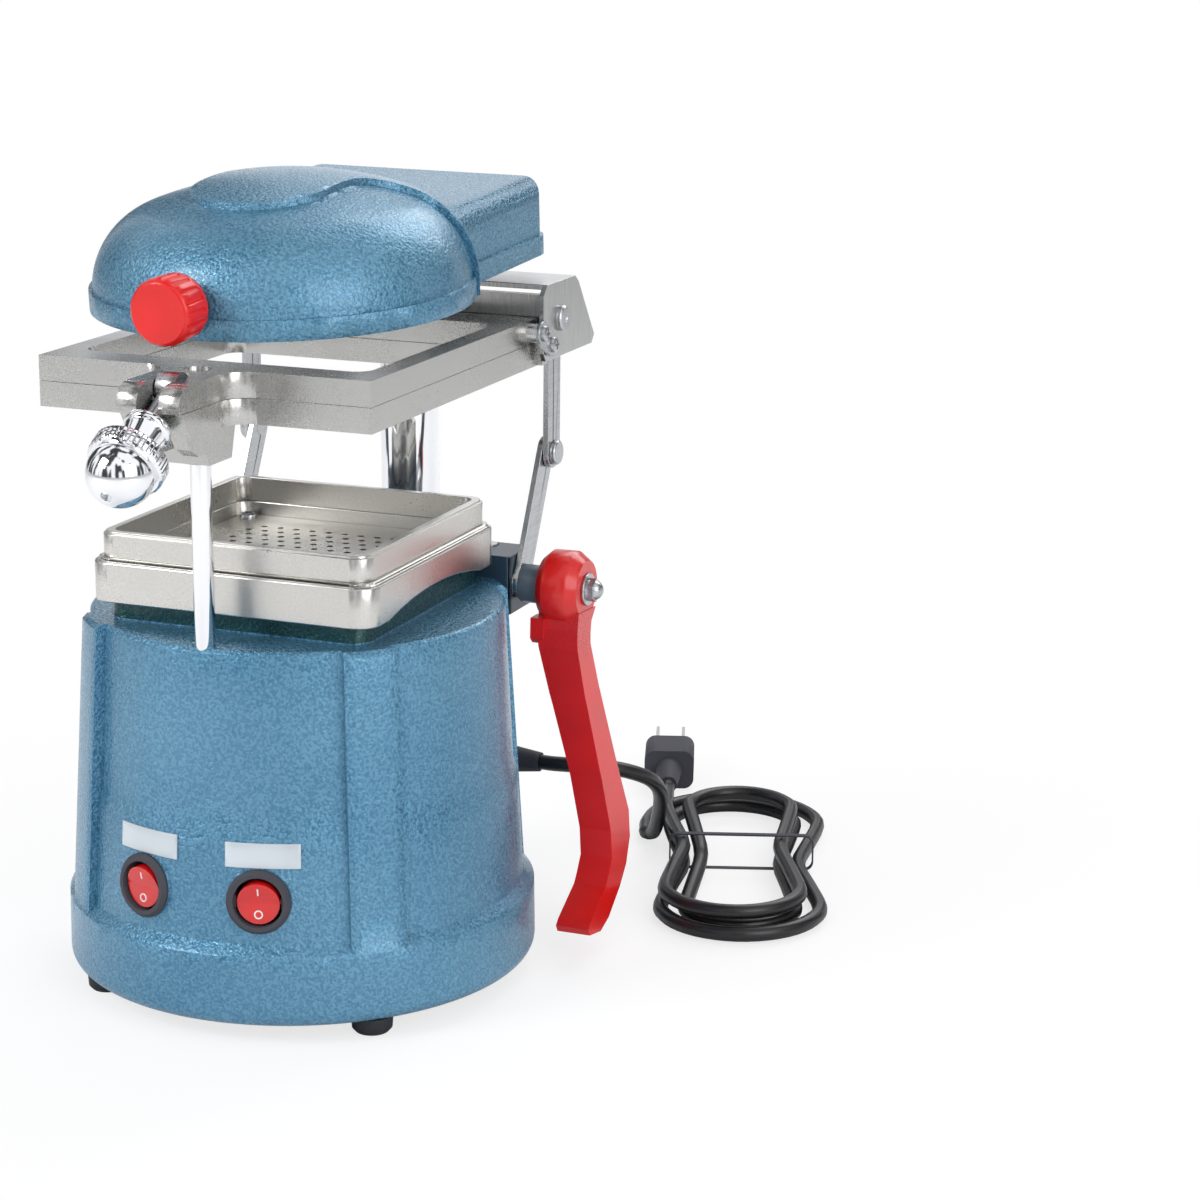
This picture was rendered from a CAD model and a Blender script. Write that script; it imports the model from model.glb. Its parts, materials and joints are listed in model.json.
"""Dresses the bench vacuum former.

It has a round housing, a tray, a clamped sheet frame, a lever linkage and a swing-over heater. Lengths in the
dataclasses are millimetres from the housing's own axis on the bench, unless a name ends in _m. place() turns
them into the row frame's metres.
"""

from __future__ import annotations

import json
import logging
import math
from dataclasses import dataclass, field
from enum import Enum
from typing import Any, Sequence, Union

import bmesh
import bpy
from mathutils import Matrix, Vector

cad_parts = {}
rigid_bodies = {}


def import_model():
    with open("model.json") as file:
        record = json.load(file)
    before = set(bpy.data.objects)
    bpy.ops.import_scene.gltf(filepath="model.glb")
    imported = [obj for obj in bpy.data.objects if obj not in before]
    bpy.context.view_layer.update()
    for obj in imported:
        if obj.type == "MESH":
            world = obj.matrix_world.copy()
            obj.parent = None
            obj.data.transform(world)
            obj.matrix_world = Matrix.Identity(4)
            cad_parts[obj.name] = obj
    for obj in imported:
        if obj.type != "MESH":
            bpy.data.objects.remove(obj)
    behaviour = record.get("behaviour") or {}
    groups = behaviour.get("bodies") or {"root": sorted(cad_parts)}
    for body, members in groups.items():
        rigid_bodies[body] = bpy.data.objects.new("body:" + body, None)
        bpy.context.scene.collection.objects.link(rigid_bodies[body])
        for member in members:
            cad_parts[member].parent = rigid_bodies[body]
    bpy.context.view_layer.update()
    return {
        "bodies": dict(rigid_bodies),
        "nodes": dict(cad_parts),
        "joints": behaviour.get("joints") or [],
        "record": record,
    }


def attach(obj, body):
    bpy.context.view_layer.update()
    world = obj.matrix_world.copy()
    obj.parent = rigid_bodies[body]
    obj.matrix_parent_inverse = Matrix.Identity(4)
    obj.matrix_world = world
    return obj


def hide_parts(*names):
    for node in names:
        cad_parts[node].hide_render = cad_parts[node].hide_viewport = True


log = logging.getLogger("vacuum_former")

Point = tuple[float, float, float]
Colour = tuple[float, float, float]
Number = Union[float, "Shade"]

# Place of the row frame's origin, in millimetres from the housing's axis
ORIGIN_X = 8.5
ORIGIN_Y = -7.3

# Vertices closer than this are welded, in metres
WELD_M = 0.00001
# Edges sharper than this are eased, in degrees
SHARP_DEG = 38

# One loop of the cord's hank: steps round a fold, steps along a run, and rings in all
FOLD = 8
RUN = 4
RINGS = 2 * (FOLD + RUN)


def place(x: float, y: float, z: float) -> Vector:
    """Turns millimetres from the housing's axis into the row frame.

    Args:
        x: distance to the right.
        y: distance to the back.
        z: height over the bench.

    Returns:
        The point in metres.
    """
    return Vector(((x - ORIGIN_X) / 1000, (y - ORIGIN_Y) / 1000, z / 1000))


def ink(red: int, green: int, blue: int) -> Colour:
    """Turns a screen colour into the linear one that a shader takes.

    Args:
        red: 0 to 255.
        green: 0 to 255.
        blue: 0 to 255.

    Returns:
        The linear colour.
    """

    def linear(value: int) -> float:
        """Returns one channel in linear light."""
        v = value / 255
        return v / 12.92 if v <= 0.04045 else ((v + 0.055) / 1.055) ** 2.4

    return linear(red), linear(green), linear(blue)


def darker(colour: Colour, share: float) -> Colour:
    """Returns a linear colour at a share of its brightness."""
    red, green, blue = (channel * share for channel in colour)
    return red, green, blue


class Shade:
    """One shader socket that takes part in Python expressions."""

    def __init__(self, bench: "Bench", socket: bpy.types.NodeSocket) -> None:
        """Wraps a socket.

        Args:
            bench: the node bench that it belongs to.
            socket: the output socket.
        """
        self.bench = bench
        self.socket = socket

    def _math(self, operation: str, left: Number, right: Number) -> "Shade":
        """Adds one Math node and returns its value."""
        return self.bench.make("ShaderNodeMath", {"operation": operation}, {0: left, 1: right})

    def __add__(self, other: Number) -> "Shade":
        """Returns self + other."""
        return self._math("ADD", self, other)

    def __sub__(self, other: Number) -> "Shade":
        """Returns self - other."""
        return self._math("SUBTRACT", self, other)

    def __mul__(self, other: Number) -> "Shade":
        """Returns self * other."""
        return self._math("MULTIPLY", self, other)

    def clamp(self) -> "Shade":
        """Returns self held between 0 and 1."""
        return self.bench.make("ShaderNodeClamp", {}, {"Value": self})

    def steps(self, low: float, high: float) -> "Shade":
        """Returns 0 below low, 1 above high and a smooth rise between.

        Args:
            low: value where the rise starts.
            high: value where it ends.

        Returns:
            The smoothed mask.
        """
        settings = {"interpolation_type": "SMOOTHSTEP", "clamp": True}
        values = {"Value": self, "From Min": low, "From Max": high}
        return self.bench.make("ShaderNodeMapRange", settings, values)


class Bench:
    """The node bench of one material."""

    def __init__(self, name: str) -> None:
        """Starts a material with one Principled shader.

        Args:
            name: the material's name.
        """
        self.material = bpy.data.materials.new(name)
        self.material.use_nodes = True
        self.tree = self.material.node_tree
        self.shader = self.tree.nodes["Principled BSDF"]
        self.spot = self.make("ShaderNodeTexCoord", {}, {}, "Object")

    def make(self, kind: str, settings: dict[str, Any], values: dict[Any, Any], output: Any = 0) -> Shade:
        """Adds any node.

        Args:
            kind: the node's type.
            settings: the node's own settings, set first.
            values: values or Shades for its inputs.
            output: name or index of the output that is wanted.

        Returns:
            The chosen output.
        """
        node = self.tree.nodes.new(kind)
        for key, value in settings.items():
            setattr(node, key, value)
        for key, value in values.items():
            if isinstance(value, Shade):
                self.tree.links.new(value.socket, node.inputs[key])
            else:
                node.inputs[key].default_value = value
        return Shade(self, node.outputs[output])

    def set(self, **values: Any) -> None:
        """Sets the shader's own sockets; an underscore stands for a space."""
        for key, value in values.items():
            socket = self.shader.inputs[key.replace("_", " ")]
            if isinstance(value, Shade):
                self.tree.links.new(value.socket, socket)
            elif isinstance(value, tuple):
                socket.default_value = (*value, 1.0)
            else:
                socket.default_value = value

    def stretch(self, x: float, y: float, z: float) -> Shade:
        """Returns the surface point scaled by x, y and z."""
        return self.make("ShaderNodeVectorMath", {"operation": "MULTIPLY"}, {0: self.spot, 1: (x, y, z)})

    def noise(self, size_mm: float, detail: float = 2.0, at: Union[Shade, None] = None) -> Shade:
        """Returns a noise whose spots are about size_mm across."""
        values = {"Vector": at or self.spot, "Scale": 1000 / size_mm, "Detail": detail}
        return self.make("ShaderNodeTexNoise", {}, values)

    def cells(self, size_mm: float) -> Shade:
        """Returns soft round cells about size_mm across."""
        values = {"Vector": self.spot, "Scale": 1000 / size_mm, "Smoothness": 0.6}
        return self.make("ShaderNodeTexVoronoi", {"feature": "SMOOTH_F1"}, values, "Distance")

    def blend(self, mask: Shade, low: Any, high: Any) -> Shade:
        """Returns the colour low where mask is 0 and high where it is 1."""
        values = {0: mask}
        for index, value in ((6, low), (7, high)):
            values[index] = (*value, 1.0) if isinstance(value, tuple) else value
        return self.make("ShaderNodeMix", {"data_type": "RGBA"}, values, 2)

    def bump(self, height: Shade, depth_mm: float, strength: float = 1.0) -> None:
        """Raises the surface by depth_mm where height is 1."""
        values = {"Height": height, "Distance": depth_mm / 1000, "Strength": strength}
        self.set(Normal=self.make("ShaderNodeBump", {}, values))


@dataclass(frozen=True)
class Finish:
    """A finish of the machine. Each kind paints itself on a bench."""

    name: str
    colour: Colour

    def paint(self, bench: Bench) -> None:
        """Paints the plain colour."""
        bench.set(Base_Color=self.colour)

    def material(self) -> bpy.types.Material:
        """Returns the finish's material, made once."""
        known = bpy.data.materials.get(self.name)
        if known is None:
            bench = Bench(self.name)
            self.paint(bench)
            known = bench.material
        return known


@dataclass(frozen=True)
class HammerEnamel(Finish):
    """Hammered stove enamel: pale pools that run together over a darker ground."""

    shadow: Colour = (0.0, 0.0, 0.0)
    pool_mm: float = 1.2
    drift_mm: float = 60
    pool_share: float = 0.42
    dimple_share: float = 0.18
    drift_share: float = 0.5
    depth_mm: float = 0.22
    boss: Union[Colour, None] = None
    boss_z_mm: float = 154.8
    boss_fade_mm: float = 0.3

    def paint(self, bench: Bench) -> None:
        """Paints fine pools, seams between them, a slow drift of tone and the boss in its own colour."""
        pools = bench.noise(self.pool_mm, 2.0).steps(0.36, 0.64)
        dimples = bench.cells(self.pool_mm * 1.5)
        drift = bench.noise(self.drift_mm, 1.0)
        tone = pools * self.pool_share + dimples * self.dimple_share + drift * self.drift_share
        mask = (tone - 0.05).clamp()
        colour = bench.blend(mask, self.shadow, self.colour)
        if self.boss:
            height = bench.make("ShaderNodeSeparateXYZ", {}, {"Vector": bench.spot}, "Z") * 1000
            over = height.steps(self.boss_z_mm, self.boss_z_mm + self.boss_fade_mm)
            colour = bench.blend(over, colour, self.boss)
        bench.set(Base_Color=colour, Metallic=0.5)
        bench.set(Roughness=(pools * 0.16 + 0.20).clamp(), Coat_Weight=0.3, Coat_Roughness=0.2)
        bench.bump(pools * 0.7 + dimples, self.depth_mm, 1.0)


@dataclass(frozen=True)
class CastMetal(Finish):
    """Plated casting with a fine sparkling grain."""

    grain_mm: float = 1.3
    depth_mm: float = 0.10
    rough: float = 0.26

    def paint(self, bench: Bench) -> None:
        """Paints grain and a slow cloud of duller metal."""
        grain = bench.noise(self.grain_mm, 3.0)
        cloud = bench.noise(35, 2.0)
        worn = darker(self.colour, 0.92)
        bench.set(Base_Color=bench.blend(grain.steps(0.35, 0.65), worn, self.colour), Metallic=1.0)
        bench.set(Roughness=(cloud * 0.14 + grain * 0.12 + self.rough - 0.1).clamp())
        bench.bump(grain, self.depth_mm, 0.8)


@dataclass(frozen=True)
class Brushed(Finish):
    """Steel with fine lines along one way."""

    along: Point = (1.0, 0.03, 1.0)
    rough: float = 0.28

    def paint(self, bench: Bench) -> None:
        """Paints the lines and a few stains."""
        lines = bench.noise(0.5, 2.0, bench.stretch(*self.along))
        stain = bench.noise(20, 3.0)
        dull = darker(self.colour, 0.82)
        bench.set(Base_Color=bench.blend(lines.steps(0.3, 0.7), dull, self.colour), Metallic=1.0)
        bench.set(Roughness=(lines * 0.12 + stain * 0.1 + self.rough - 0.1).clamp())
        bench.bump(lines, 0.02, 0.6)


@dataclass(frozen=True)
class Polished(Finish):
    """Chrome with faint handling marks."""

    def paint(self, bench: Bench) -> None:
        """Paints the marks, a little in the tone and more in the gloss."""
        marks = bench.noise(9, 4.0)
        tone = bench.blend(marks.steps(0.3, 0.8), self.colour, darker(self.colour, 0.93))
        rough = (marks.steps(0.5, 0.9) * 0.08 + 0.05).clamp()
        bench.set(Base_Color=tone, Metallic=1.0, Roughness=rough)


@dataclass(frozen=True)
class Moulded(Finish):
    """Moulded plastic or rubber with a grain."""

    rough: float = 0.35
    grain_mm: float = 0.6
    depth_mm: float = 0.02
    coat: float = 0.0

    def paint(self, bench: Bench) -> None:
        """Paints the grain and the slow flow marks."""
        grain = bench.noise(self.grain_mm, 2.0)
        flow = bench.noise(28, 2.0)
        deep = darker(self.colour, 0.80)
        bench.set(Base_Color=bench.blend((flow * 0.7 + grain * 0.3).steps(0.3, 0.7), deep, self.colour))
        bench.set(Roughness=(grain * 0.08 + flow * 0.10 + self.rough - 0.09).clamp())
        bench.set(Coat_Weight=self.coat, Coat_Roughness=0.08)
        bench.bump(grain, self.depth_mm, 0.6)


@dataclass(frozen=True)
class Satin(Finish):
    """Smooth satin coat of the dark castings, the sleeve, the gasket, the ceramic and the blank plates."""

    rough: float = 0.4
    metal: float = 0.0

    def paint(self, bench: Bench) -> None:
        """Paints orange peel and a slow drift."""
        peel = bench.noise(1.8, 2.0)
        drift = bench.noise(40, 2.0)
        deep = darker(self.colour, 0.85)
        bench.set(Base_Color=bench.blend(drift.steps(0.3, 0.7), deep, self.colour), Metallic=self.metal)
        bench.set(Roughness=(peel * 0.1 + self.rough - 0.05).clamp())
        bench.bump(peel, 0.03, 0.6)


HOUSING = HammerEnamel("enamel_housing", ink(104, 154, 180), shadow=ink(42, 102, 138), boss=ink(14, 66, 68))
HEAD = HammerEnamel("enamel_head", ink(108, 156, 180), shadow=ink(44, 104, 138), pool_mm=1.1)
CASTING = CastMetal("plated_casting", ink(190, 189, 186), grain_mm=0.7, depth_mm=0.02, rough=0.24)
TRAY = CastMetal("plated_tray", ink(208, 206, 201), grain_mm=0.9, depth_mm=0.06, rough=0.27)
STEEL = Brushed("brushed_steel", ink(190, 192, 194))
STRIP = Brushed("rolled_strip", ink(196, 196, 194), along=(1.0, 1.0, 0.04), rough=0.24)
CHROME = Polished("chrome", ink(238, 238, 240))
SLATE = Satin("slate_enamel", ink(42, 62, 78), rough=0.34)
GREY_SLEEVE = Satin("grey_sleeve", ink(96, 110, 122), rough=0.36)
TEAL = Satin("teal_gasket", ink(22, 74, 74), rough=0.45)
LABEL = Satin("blank_label", ink(206, 214, 220), rough=0.3, metal=0.35)
BRASS = Brushed("turned_brass", ink(196, 160, 96))
LEVER = Moulded("lever_red", ink(216, 14, 8), rough=0.30, coat=0.2)
KNOB = Moulded("knob_red", ink(226, 12, 10), rough=0.34, coat=0.12)
ROCKER = Moulded("rocker_red", ink(206, 16, 16), rough=0.16, depth_mm=0.005, coat=0.5)
BLACK = Moulded("black_plastic", ink(24, 24, 27), rough=0.34)
SHEATH = Moulded("cord_sheath", ink(20, 20, 22), rough=0.36, grain_mm=1.0, depth_mm=0.015)
RUBBER = Moulded("foot_rubber", ink(26, 30, 36), rough=0.62, depth_mm=0.05)
CERAMIC = Satin("ceramic", ink(226, 220, 206), rough=0.6)
WHITE = Moulded("white_mark", ink(240, 240, 240), rough=0.5)


class Edge(Enum):
    """How much an edge is eased, in millimetres."""

    NONE = 0.0
    FINE = 0.25
    SOFT = 0.8
    ROUND = 2.2


def dress(node: bpy.types.Object, finish: Finish, edge: Edge = Edge.FINE) -> None:
    """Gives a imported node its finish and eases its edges.

    Args:
        node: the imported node's object.
        finish: what it is finished in.
        edge: how far its edges are eased.
    """
    material = finish.material()
    if not node.material_slots:
        node.data.materials.append(material)
    for slot in node.material_slots:
        slot.link = "OBJECT"
        slot.material = material
    weld = node.modifiers.new("weld", "WELD")
    weld.merge_threshold = WELD_M
    if edge is not Edge.NONE:
        bevel = node.modifiers.new("edge", "BEVEL")
        bevel.width = edge.value / 1000
        bevel.segments = 3 if edge is Edge.ROUND else 2
        bevel.limit_method = "ANGLE"
        bevel.angle_limit = math.radians(SHARP_DEG)
        bevel.use_clamp_overlap = True
        bevel.harden_normals = True


def curve(
    name: str, points: Sequence[Vector], radius: float, finish: Finish, closed: bool = False
) -> bpy.types.Object:
    """Makes a round wire along points.

    Args:
        name: the piece's name.
        points: the points of its centreline.
        radius: the wire's radius in metres.
        finish: what it is finished in.
        closed: True for a ring.

    Returns:
        The piece.
    """
    data = bpy.data.curves.new(name, "CURVE")
    data.dimensions = "3D"
    data.bevel_depth = radius
    data.bevel_resolution = 5
    data.use_fill_caps = True
    line = data.splines.new("POLY")
    line.points.add(len(points) - 1)
    for spot, point in zip(line.points, points):
        spot.co = (*point, 1.0)
    line.use_cyclic_u = closed
    line.use_smooth = True
    piece = bpy.data.objects.new(name, data)
    bpy.context.scene.collection.objects.link(piece)
    data.materials.append(finish.material())
    return piece


def solid(name: str, mesh: bmesh.types.BMesh, finish: Finish) -> bpy.types.Object:
    """Makes a flat-shaded piece from a bmesh and frees it.

    Args:
        name: the piece's name.
        mesh: the built mesh.
        finish: what it is finished in.

    Returns:
        The piece.
    """
    data = bpy.data.meshes.new(name)
    bmesh.ops.recalc_face_normals(mesh, faces=mesh.faces)
    mesh.to_mesh(data)
    mesh.free()
    piece = bpy.data.objects.new(name, data)
    bpy.context.scene.collection.objects.link(piece)
    data.materials.append(finish.material())
    return piece


def smooth_line(points: Sequence[Vector], steps: int) -> list[Vector]:
    """Runs a smooth line through points.

    Args:
        points: the points that it passes.
        steps: how many pieces each stretch is cut into.

    Returns:
        The finer points.
    """
    ends = [points[0] * 2 - points[1], *points, points[-1] * 2 - points[-2]]
    line: list[Vector] = []
    for before, first, last, after in zip(ends, ends[1:], ends[2:], ends[3:]):
        for i in range(steps):
            t = i / steps
            line.append(
                0.5
                * (
                    2 * first
                    + (last - before) * t
                    + (2 * before - 5 * first + 4 * last - after) * t * t
                    + (3 * first - before - 3 * last + after) * t**3
                )
            )
    return [*line, points[-1].copy()]


@dataclass
class Studio:
    """The camera at the photograph's view, pale floor and soft lamps."""

    eye: Point = (545.672, -1064.821, 462.65)
    turn: float = 21.302
    rise: float = 14.5
    roll: float = 0.431
    lens: float = 91.36
    aim_m: Point = (0.0, 0.0, 0.16)
    bands: Point = (2.8, 2.8, 0.3)
    band_scale: float = 1.5
    band_edge: tuple[float, float] = (0.47, 0.58)
    dark: Colour = (0.90, 0.94, 1.0)
    dark_strength: float = 0.06
    light: Colour = (0.96, 0.97, 1.0)
    light_strength: float = 1.15
    floor_half_m: float = 6.0
    fade_m: tuple[float, float] = (0.22, 0.55)
    near_white: float = 0.74

    def camera(self) -> None:
        """Makes the camera and sets it as the scene's own."""
        a, e, r = (math.radians(v) for v in (self.turn, self.rise, self.roll))
        back = Vector((math.sin(a) * math.cos(e), -math.cos(a) * math.cos(e), math.sin(e)))
        right = Vector((math.cos(a), math.sin(a), 0.0))
        up = back.cross(right)
        across = right * math.cos(r) + up * math.sin(r)
        above = up * math.cos(r) - right * math.sin(r)
        data = bpy.data.cameras.new("camera")
        data.lens = self.lens
        data.sensor_width = 36.0
        data.clip_end = 20.0
        camera = bpy.data.objects.new("camera", data)
        bpy.context.scene.collection.objects.link(camera)
        turned = Matrix((across, above, back)).transposed().to_4x4()
        camera.matrix_world = Matrix.Translation(place(*self.eye)) @ turned
        bpy.context.scene.camera = camera

    def lamp(self, name: str, at: Point, size: float, power: float) -> None:
        """Adds one soft lamp that faces the machine's middle.

        Args:
            name: the lamp's name.
            at: where it stands, in metres.
            size: its side, in metres.
            power: its power, in watts.
        """
        data = bpy.data.lights.new(name, "AREA")
        data.shape = "SQUARE"
        data.size = size
        data.energy = power
        piece = bpy.data.objects.new(name, data)
        bpy.context.scene.collection.objects.link(piece)
        piece.location = at
        piece.rotation_euler = (Vector(at) - Vector(self.aim_m)).to_track_quat("Z", "Y").to_euler()

    def world(self) -> None:
        """Lights the machine with soft upright bands, for the chrome to mirror, and shows white behind it."""
        scene = bpy.context.scene
        scene.view_settings.view_transform = "Standard"
        world = bpy.data.worlds.new("studio")
        world.use_nodes = True
        scene.world = world
        tree = world.node_tree
        path = tree.nodes.new("ShaderNodeLightPath")
        mix = tree.nodes.new("ShaderNodeMixShader")
        way = tree.nodes.new("ShaderNodeTexCoord")
        upright = tree.nodes.new("ShaderNodeVectorMath")
        upright.operation = "MULTIPLY"
        upright.inputs[1].default_value = self.bands
        bands = tree.nodes.new("ShaderNodeTexNoise")
        bands.inputs["Scale"].default_value = self.band_scale
        bands.inputs["Detail"].default_value = 0.0
        rise = tree.nodes.new("ShaderNodeMapRange")
        rise.interpolation_type = "SMOOTHSTEP"
        rise.inputs["From Min"].default_value, rise.inputs["From Max"].default_value = self.band_edge
        dark = tree.nodes["Background"]
        dark.inputs["Color"].default_value = (*self.dark, 1.0)
        dark.inputs["Strength"].default_value = self.dark_strength
        light = tree.nodes.new("ShaderNodeBackground")
        light.inputs["Color"].default_value = (*self.light, 1.0)
        light.inputs["Strength"].default_value = self.light_strength
        soft = tree.nodes.new("ShaderNodeMixShader")
        tree.links.new(way.outputs["Generated"], upright.inputs[0])
        tree.links.new(upright.outputs[0], bands.inputs["Vector"])
        tree.links.new(bands.outputs[0], rise.inputs["Value"])
        tree.links.new(rise.outputs[0], soft.inputs["Fac"])
        tree.links.new(dark.outputs[0], soft.inputs[1])
        tree.links.new(light.outputs[0], soft.inputs[2])
        white = tree.nodes.new("ShaderNodeBackground")
        white.inputs["Color"].default_value = (1, 1, 1, 1)
        white.inputs["Strength"].default_value = 1.0
        tree.links.new(path.outputs["Is Camera Ray"], mix.inputs["Fac"])
        tree.links.new(soft.outputs[0], mix.inputs[1])
        tree.links.new(white.outputs[0], mix.inputs[2])
        tree.links.new(mix.outputs[0], tree.nodes["World Output"].inputs["Surface"])

    def floor(self) -> None:
        """Lays a pale floor that keeps the shadow and runs out to white."""
        mesh = bmesh.new()
        bmesh.ops.create_grid(mesh, x_segments=1, y_segments=1, size=self.floor_half_m)
        floor = solid("floor", mesh, Finish("floor_paint", (0.93, 0.93, 0.93)))
        floor.location.z = -0.0002
        bench_tree = floor.data.materials[0].node_tree
        nodes, links = bench_tree.nodes, bench_tree.links
        path = nodes.new("ShaderNodeLightPath")
        glow = nodes.new("ShaderNodeEmission")
        glow.inputs["Strength"].default_value = 1.0
        mix = nodes.new("ShaderNodeMixShader")
        spot = nodes.new("ShaderNodeTexCoord")
        far = nodes.new("ShaderNodeVectorMath")
        far.operation = "LENGTH"
        fade = nodes.new("ShaderNodeMapRange")
        fade.interpolation_type = "SMOOTHSTEP"
        fade.inputs["From Min"].default_value, fade.inputs["From Max"].default_value = self.fade_m
        fade.inputs["To Min"].default_value = self.near_white
        fade.inputs["To Max"].default_value = 1.0
        share = nodes.new("ShaderNodeMath")
        share.operation = "MULTIPLY"
        links.new(spot.outputs["Object"], far.inputs[0])
        links.new(far.outputs["Value"], fade.inputs["Value"])
        links.new(fade.outputs[0], share.inputs[1])
        links.new(path.outputs["Is Camera Ray"], share.inputs[0])
        links.new(share.outputs[0], mix.inputs["Fac"])
        links.new(nodes["Principled BSDF"].outputs[0], mix.inputs[1])
        links.new(glow.outputs[0], mix.inputs[2])
        links.new(mix.outputs[0], nodes["Material Output"].inputs["Surface"])
        nodes["Principled BSDF"].inputs["Roughness"].default_value = 0.9

    def build(self) -> None:
        """Sets up lamps, world and floor."""
        self.world()
        self.lamp("key", (-0.9, -1.1, 1.15), 0.7, 15)
        self.lamp("fill", (1.2, -0.7, 0.7), 0.9, 8)
        self.lamp("back", (0.2, 1.2, 1.2), 0.9, 9)
        self.floor()


@dataclass
class PowerCord:
    """The mains cord: a free stretch, a hank with a drawn-in waist and its plug."""

    radius: float = 3.3
    exit: Point = (59.5, 112.0, 60.0)
    route: list[Point] = field(
        default_factory=lambda: [
            (66, 112, 60), (78, 114, 60), (89, 119, 59), (97, 128, 55), (101, 139, 49), (101, 150, 41),
            (98, 160, 32), (94, 169, 23), (90, 177, 15), (86, 185, 9), (82, 193, 5),
        ]
    )
    middle: tuple[float, float] = (131.0, 170.0)
    turn: float = -71.0
    half_run: float = 55.0
    inner: float = 21.0
    step: float = 10.8
    waist: float = 0.25
    layer: float = 8.0
    turns_back_at: int = 34
    climbs_at: int = 32
    climb_rings: int = 4
    first: int = -12
    last: int = 60
    tail: tuple[float, ...] = (9, 18, 26, 33, 40)
    drops_at: float = 24
    drop_run: float = 9
    plug_z: float = 9.6
    lift: float = 0.45

    def flat(self, k: float) -> tuple[float, float]:
        """Returns the hank's point at ring k before it is turned."""
        j = k % RINGS
        r = self.inner + self.step * abs(k - self.turns_back_at) / RINGS
        a = self.half_run
        far_fold = FOLD + RUN
        back_run = far_fold + FOLD
        if j <= FOLD:
            angle = math.radians(180 / FOLD * j - 90)
            x, y = a + r * math.cos(angle), r * math.sin(angle)
        elif j < far_fold:
            x, y = a - (j - FOLD) * a * 2 / RUN, r
        elif j <= back_run:
            angle = math.radians(90 + 180 / FOLD * (j - far_fold))
            x, y = -a + r * math.cos(angle), r * math.sin(angle)
        else:
            x, y = (j - back_run) * a * 2 / RUN - a, -r
        return x, y * (1 - self.waist * math.cos(math.radians(90 * min(1, abs(x) / a))) ** 2)

    def turned(self, x: float, y: float, z: float) -> Vector:
        """Returns a point of the hank where it lies, in millimetres."""
        c, s = math.cos(math.radians(self.turn)), math.sin(math.radians(self.turn))
        return Vector((self.middle[0] + x * c + y * s, self.middle[1] + x * s - y * c, z))

    def centreline(self) -> list[Vector]:
        """Returns the whole cord's centreline in millimetres."""
        low = self.radius + self.lift

        def height(k: float) -> float:
            """Returns the climb between the two layers at ring k."""
            share = min(1.0, max(0.0, (k - self.climbs_at) / self.climb_rings))
            return low + self.layer * (1 - math.cos(math.pi * share)) / 2

        hank = [self.turned(*self.flat(k), height(k)) for k in range(self.first, self.last + 1)]
        away = self.turned(-1, 0, 0) - self.turned(0, 0, 0)
        end = hank[-1]
        tail = []
        for s in self.tail:
            spot = end + away * s
            share = min(1.0, max(0.0, (s - self.drops_at) / self.drop_run))
            spot.z = end.z + (self.plug_z - end.z) * share
            tail.append(spot)
        start = hank[0] - away * 2 * self.radius
        lead = [Vector(self.exit), *(Vector(p) for p in self.route), start - away * 2 * self.radius, start]
        return [*lead, *hank, *tail]

    def build(self, frame: dict[str, Any]) -> None:
        """Makes the cord and dresses the plug, the tie and the gland.
        """
        nodes = frame["nodes"]
        line = [place(*p) for p in smooth_line(self.centreline(), 3)]
        cord = curve("mains_cord", line, self.radius / 1000, SHEATH)
        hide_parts("cord_lead", "cord_hank")
        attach(cord, "base")
        own = {
            "plug_body": (BLACK, Edge.SOFT), "plug_pins": (STEEL, Edge.FINE),
            "cord_gland": (BLACK, Edge.FINE), "cord_tie": (BLACK, Edge.NONE),
        }
        for name, (finish, edge) in own.items():
            dress(nodes[name], finish, edge)
        tuple(place(*self.exit))


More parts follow.
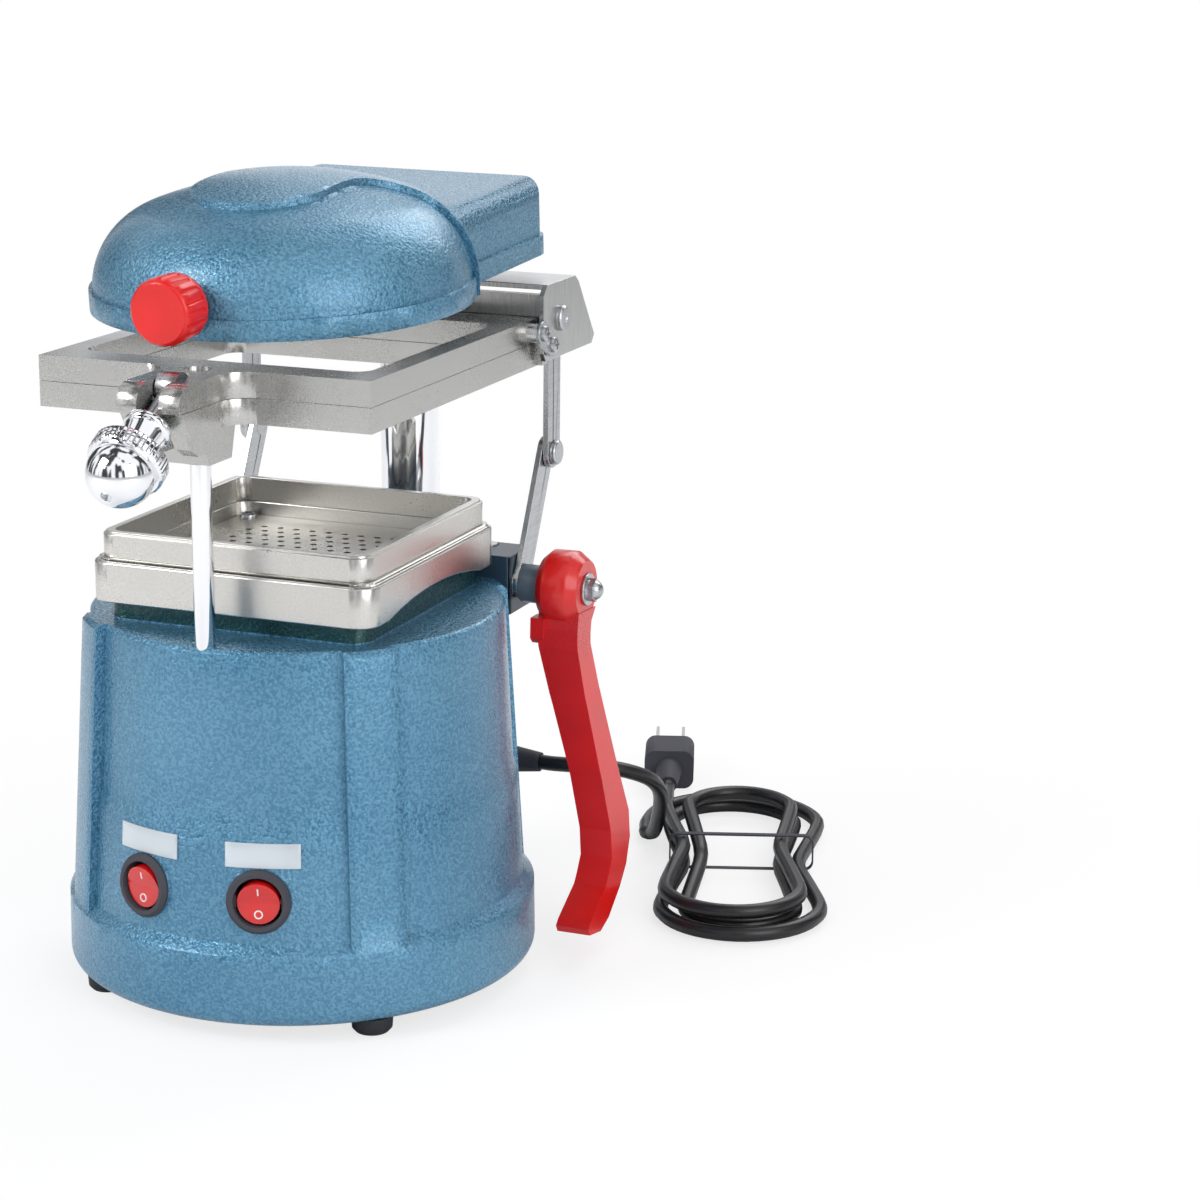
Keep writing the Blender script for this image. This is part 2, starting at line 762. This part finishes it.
@dataclass
class Machine:
    """The rigid pieces of the machine and their finishes."""

    finishes: dict[str, tuple[Finish, Edge]] = field(
        default_factory=lambda: {
            "base_housing": (HOUSING, Edge.SOFT), "heater_cover": (HEAD, Edge.SOFT),
            "rear_bridge": (SLATE, Edge.SOFT), "tray": (TRAY, Edge.SOFT),
            "tray_wall": (TRAY, Edge.FINE), "perforated_plate": (TRAY, Edge.NONE),
            "upper_frame": (CASTING, Edge.SOFT), "lower_frame": (CASTING, Edge.SOFT),
            "handle": (LEVER, Edge.ROUND), "heater_knob": (KNOB, Edge.SOFT),
            "deck_seal": (TEAL, Edge.FINE), "rubber_feet": (RUBBER, Edge.SOFT),
            "base_plate": (STEEL, Edge.NONE), "rear_column": (CHROME, Edge.FINE),
            "guide_rod": (CHROME, Edge.FINE), "clamp_collar": (CHROME, Edge.FINE),
            "clamp_ring": (CHROME, Edge.NONE), "clamp_ball": (CHROME, Edge.FINE),
            "column_collar": (CHROME, Edge.FINE), "yoke_channel": (STRIP, Edge.FINE),
            "yoke_beam": (STRIP, Edge.FINE), "shaft_sleeve": (GREY_SLEEVE, Edge.FINE),
            "label_plate_l": (LABEL, Edge.FINE), "label_plate_r": (LABEL, Edge.FINE),
            "guide_bush": (BRASS, Edge.FINE), "rocker_l": (ROCKER, Edge.FINE),
            "rocker_r": (ROCKER, Edge.FINE), "element_posts": (CERAMIC, Edge.FINE),
            "switch_bezel_l": (BLACK, Edge.FINE), "switch_bezel_r": (BLACK, Edge.FINE),
            "upper_seal": (RUBBER, Edge.NONE), "lower_seal": (RUBBER, Edge.NONE),
            "heater_reflector": (CHROME, Edge.NONE), "vacuum_motor": (SLATE, Edge.FINE),
        }
    )
    skipped: tuple[str, ...] = ("cord_lead", "cord_hank", "cord_tie", "plug_body", "plug_pins", "cord_gland")

    def build(self, frame: dict[str, Any]) -> None:
        """Dresses every rigid node; what is not listed is brushed steel.
        """
        rigid = {name: node for name, node in frame["nodes"].items() if name not in self.skipped}
        for name, node in rigid.items():
            finish, edge = self.finishes.get(name, (STEEL, Edge.FINE))
            dress(node, finish, edge)
        log.info("dressed %d rigid nodes", len(rigid))


@dataclass
class SwitchMarks:
    """The white bar and ring on each rocker."""

    degrees: float = 16.0
    height: float = 57.5
    panel_r: float = 89.4
    lean: float = 4.2
    tip: float = 9.0
    inset: float = 1.0
    face: float = 2.45
    slope: float = 1.2 / 8.6
    bar: tuple[float, ...] = (3.4, 4.4, 5.4, 6.2)
    ring_at: float = -4.6
    ring_r: float = 1.5
    ring_points: int = 20
    wire_m: float = 0.00028

    def on_rocker(self, side: int) -> Matrix:
        """Returns the matrix from the rocker's own millimetres to the row frame."""
        to_panel = (
            Matrix.Rotation(math.radians(side * self.degrees), 4, "Z")
            @ Matrix.Translation((0, -self.panel_r, self.height))
            @ Matrix.Rotation(math.radians(90 - self.lean), 4, "X")
            @ Matrix.Translation((0, 0, -self.inset))
            @ Matrix.Rotation(math.radians(self.tip), 4, "X")
        )
        scale = Matrix.Scale(0.001, 4)
        return Matrix.Translation(place(0, 0, 0)) @ scale @ to_panel

    def build(self) -> None:
        """Adds the marks to both rockers."""
        for side, body in ((-1, "rocker_left"), (1, "rocker_right")):
            matrix = self.on_rocker(side)
            bar = [matrix @ Vector((0, y, self.face + self.slope * y)) for y in self.bar]
            ring = []
            for i in range(self.ring_points):
                angle = math.radians(360 / self.ring_points * i)
                x, y = self.ring_r * math.cos(angle), self.ring_at + self.ring_r * math.sin(angle)
                ring.append(matrix @ Vector((x, y, self.face - self.slope * y)))
            for name, points, closed in (("mark_bar", bar, False), ("mark_ring", ring, True)):
                mark = curve(f"{name}_{body}", points, self.wire_m, WHITE, closed)
                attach(mark, body)
        log.info("switch marks")


def main() -> None:
    """Builds the scene in order."""
    logging.basicConfig(level=logging.INFO, format="%(message)s")
    for kept in list(bpy.data.objects):
        bpy.data.objects.remove(kept)
    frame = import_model()
    studio = Studio()
    studio.camera()
    PowerCord().build(frame)
    Machine().build(frame)
    SwitchMarks().build()
    studio.build()


if __name__ == "__main__":
    main()
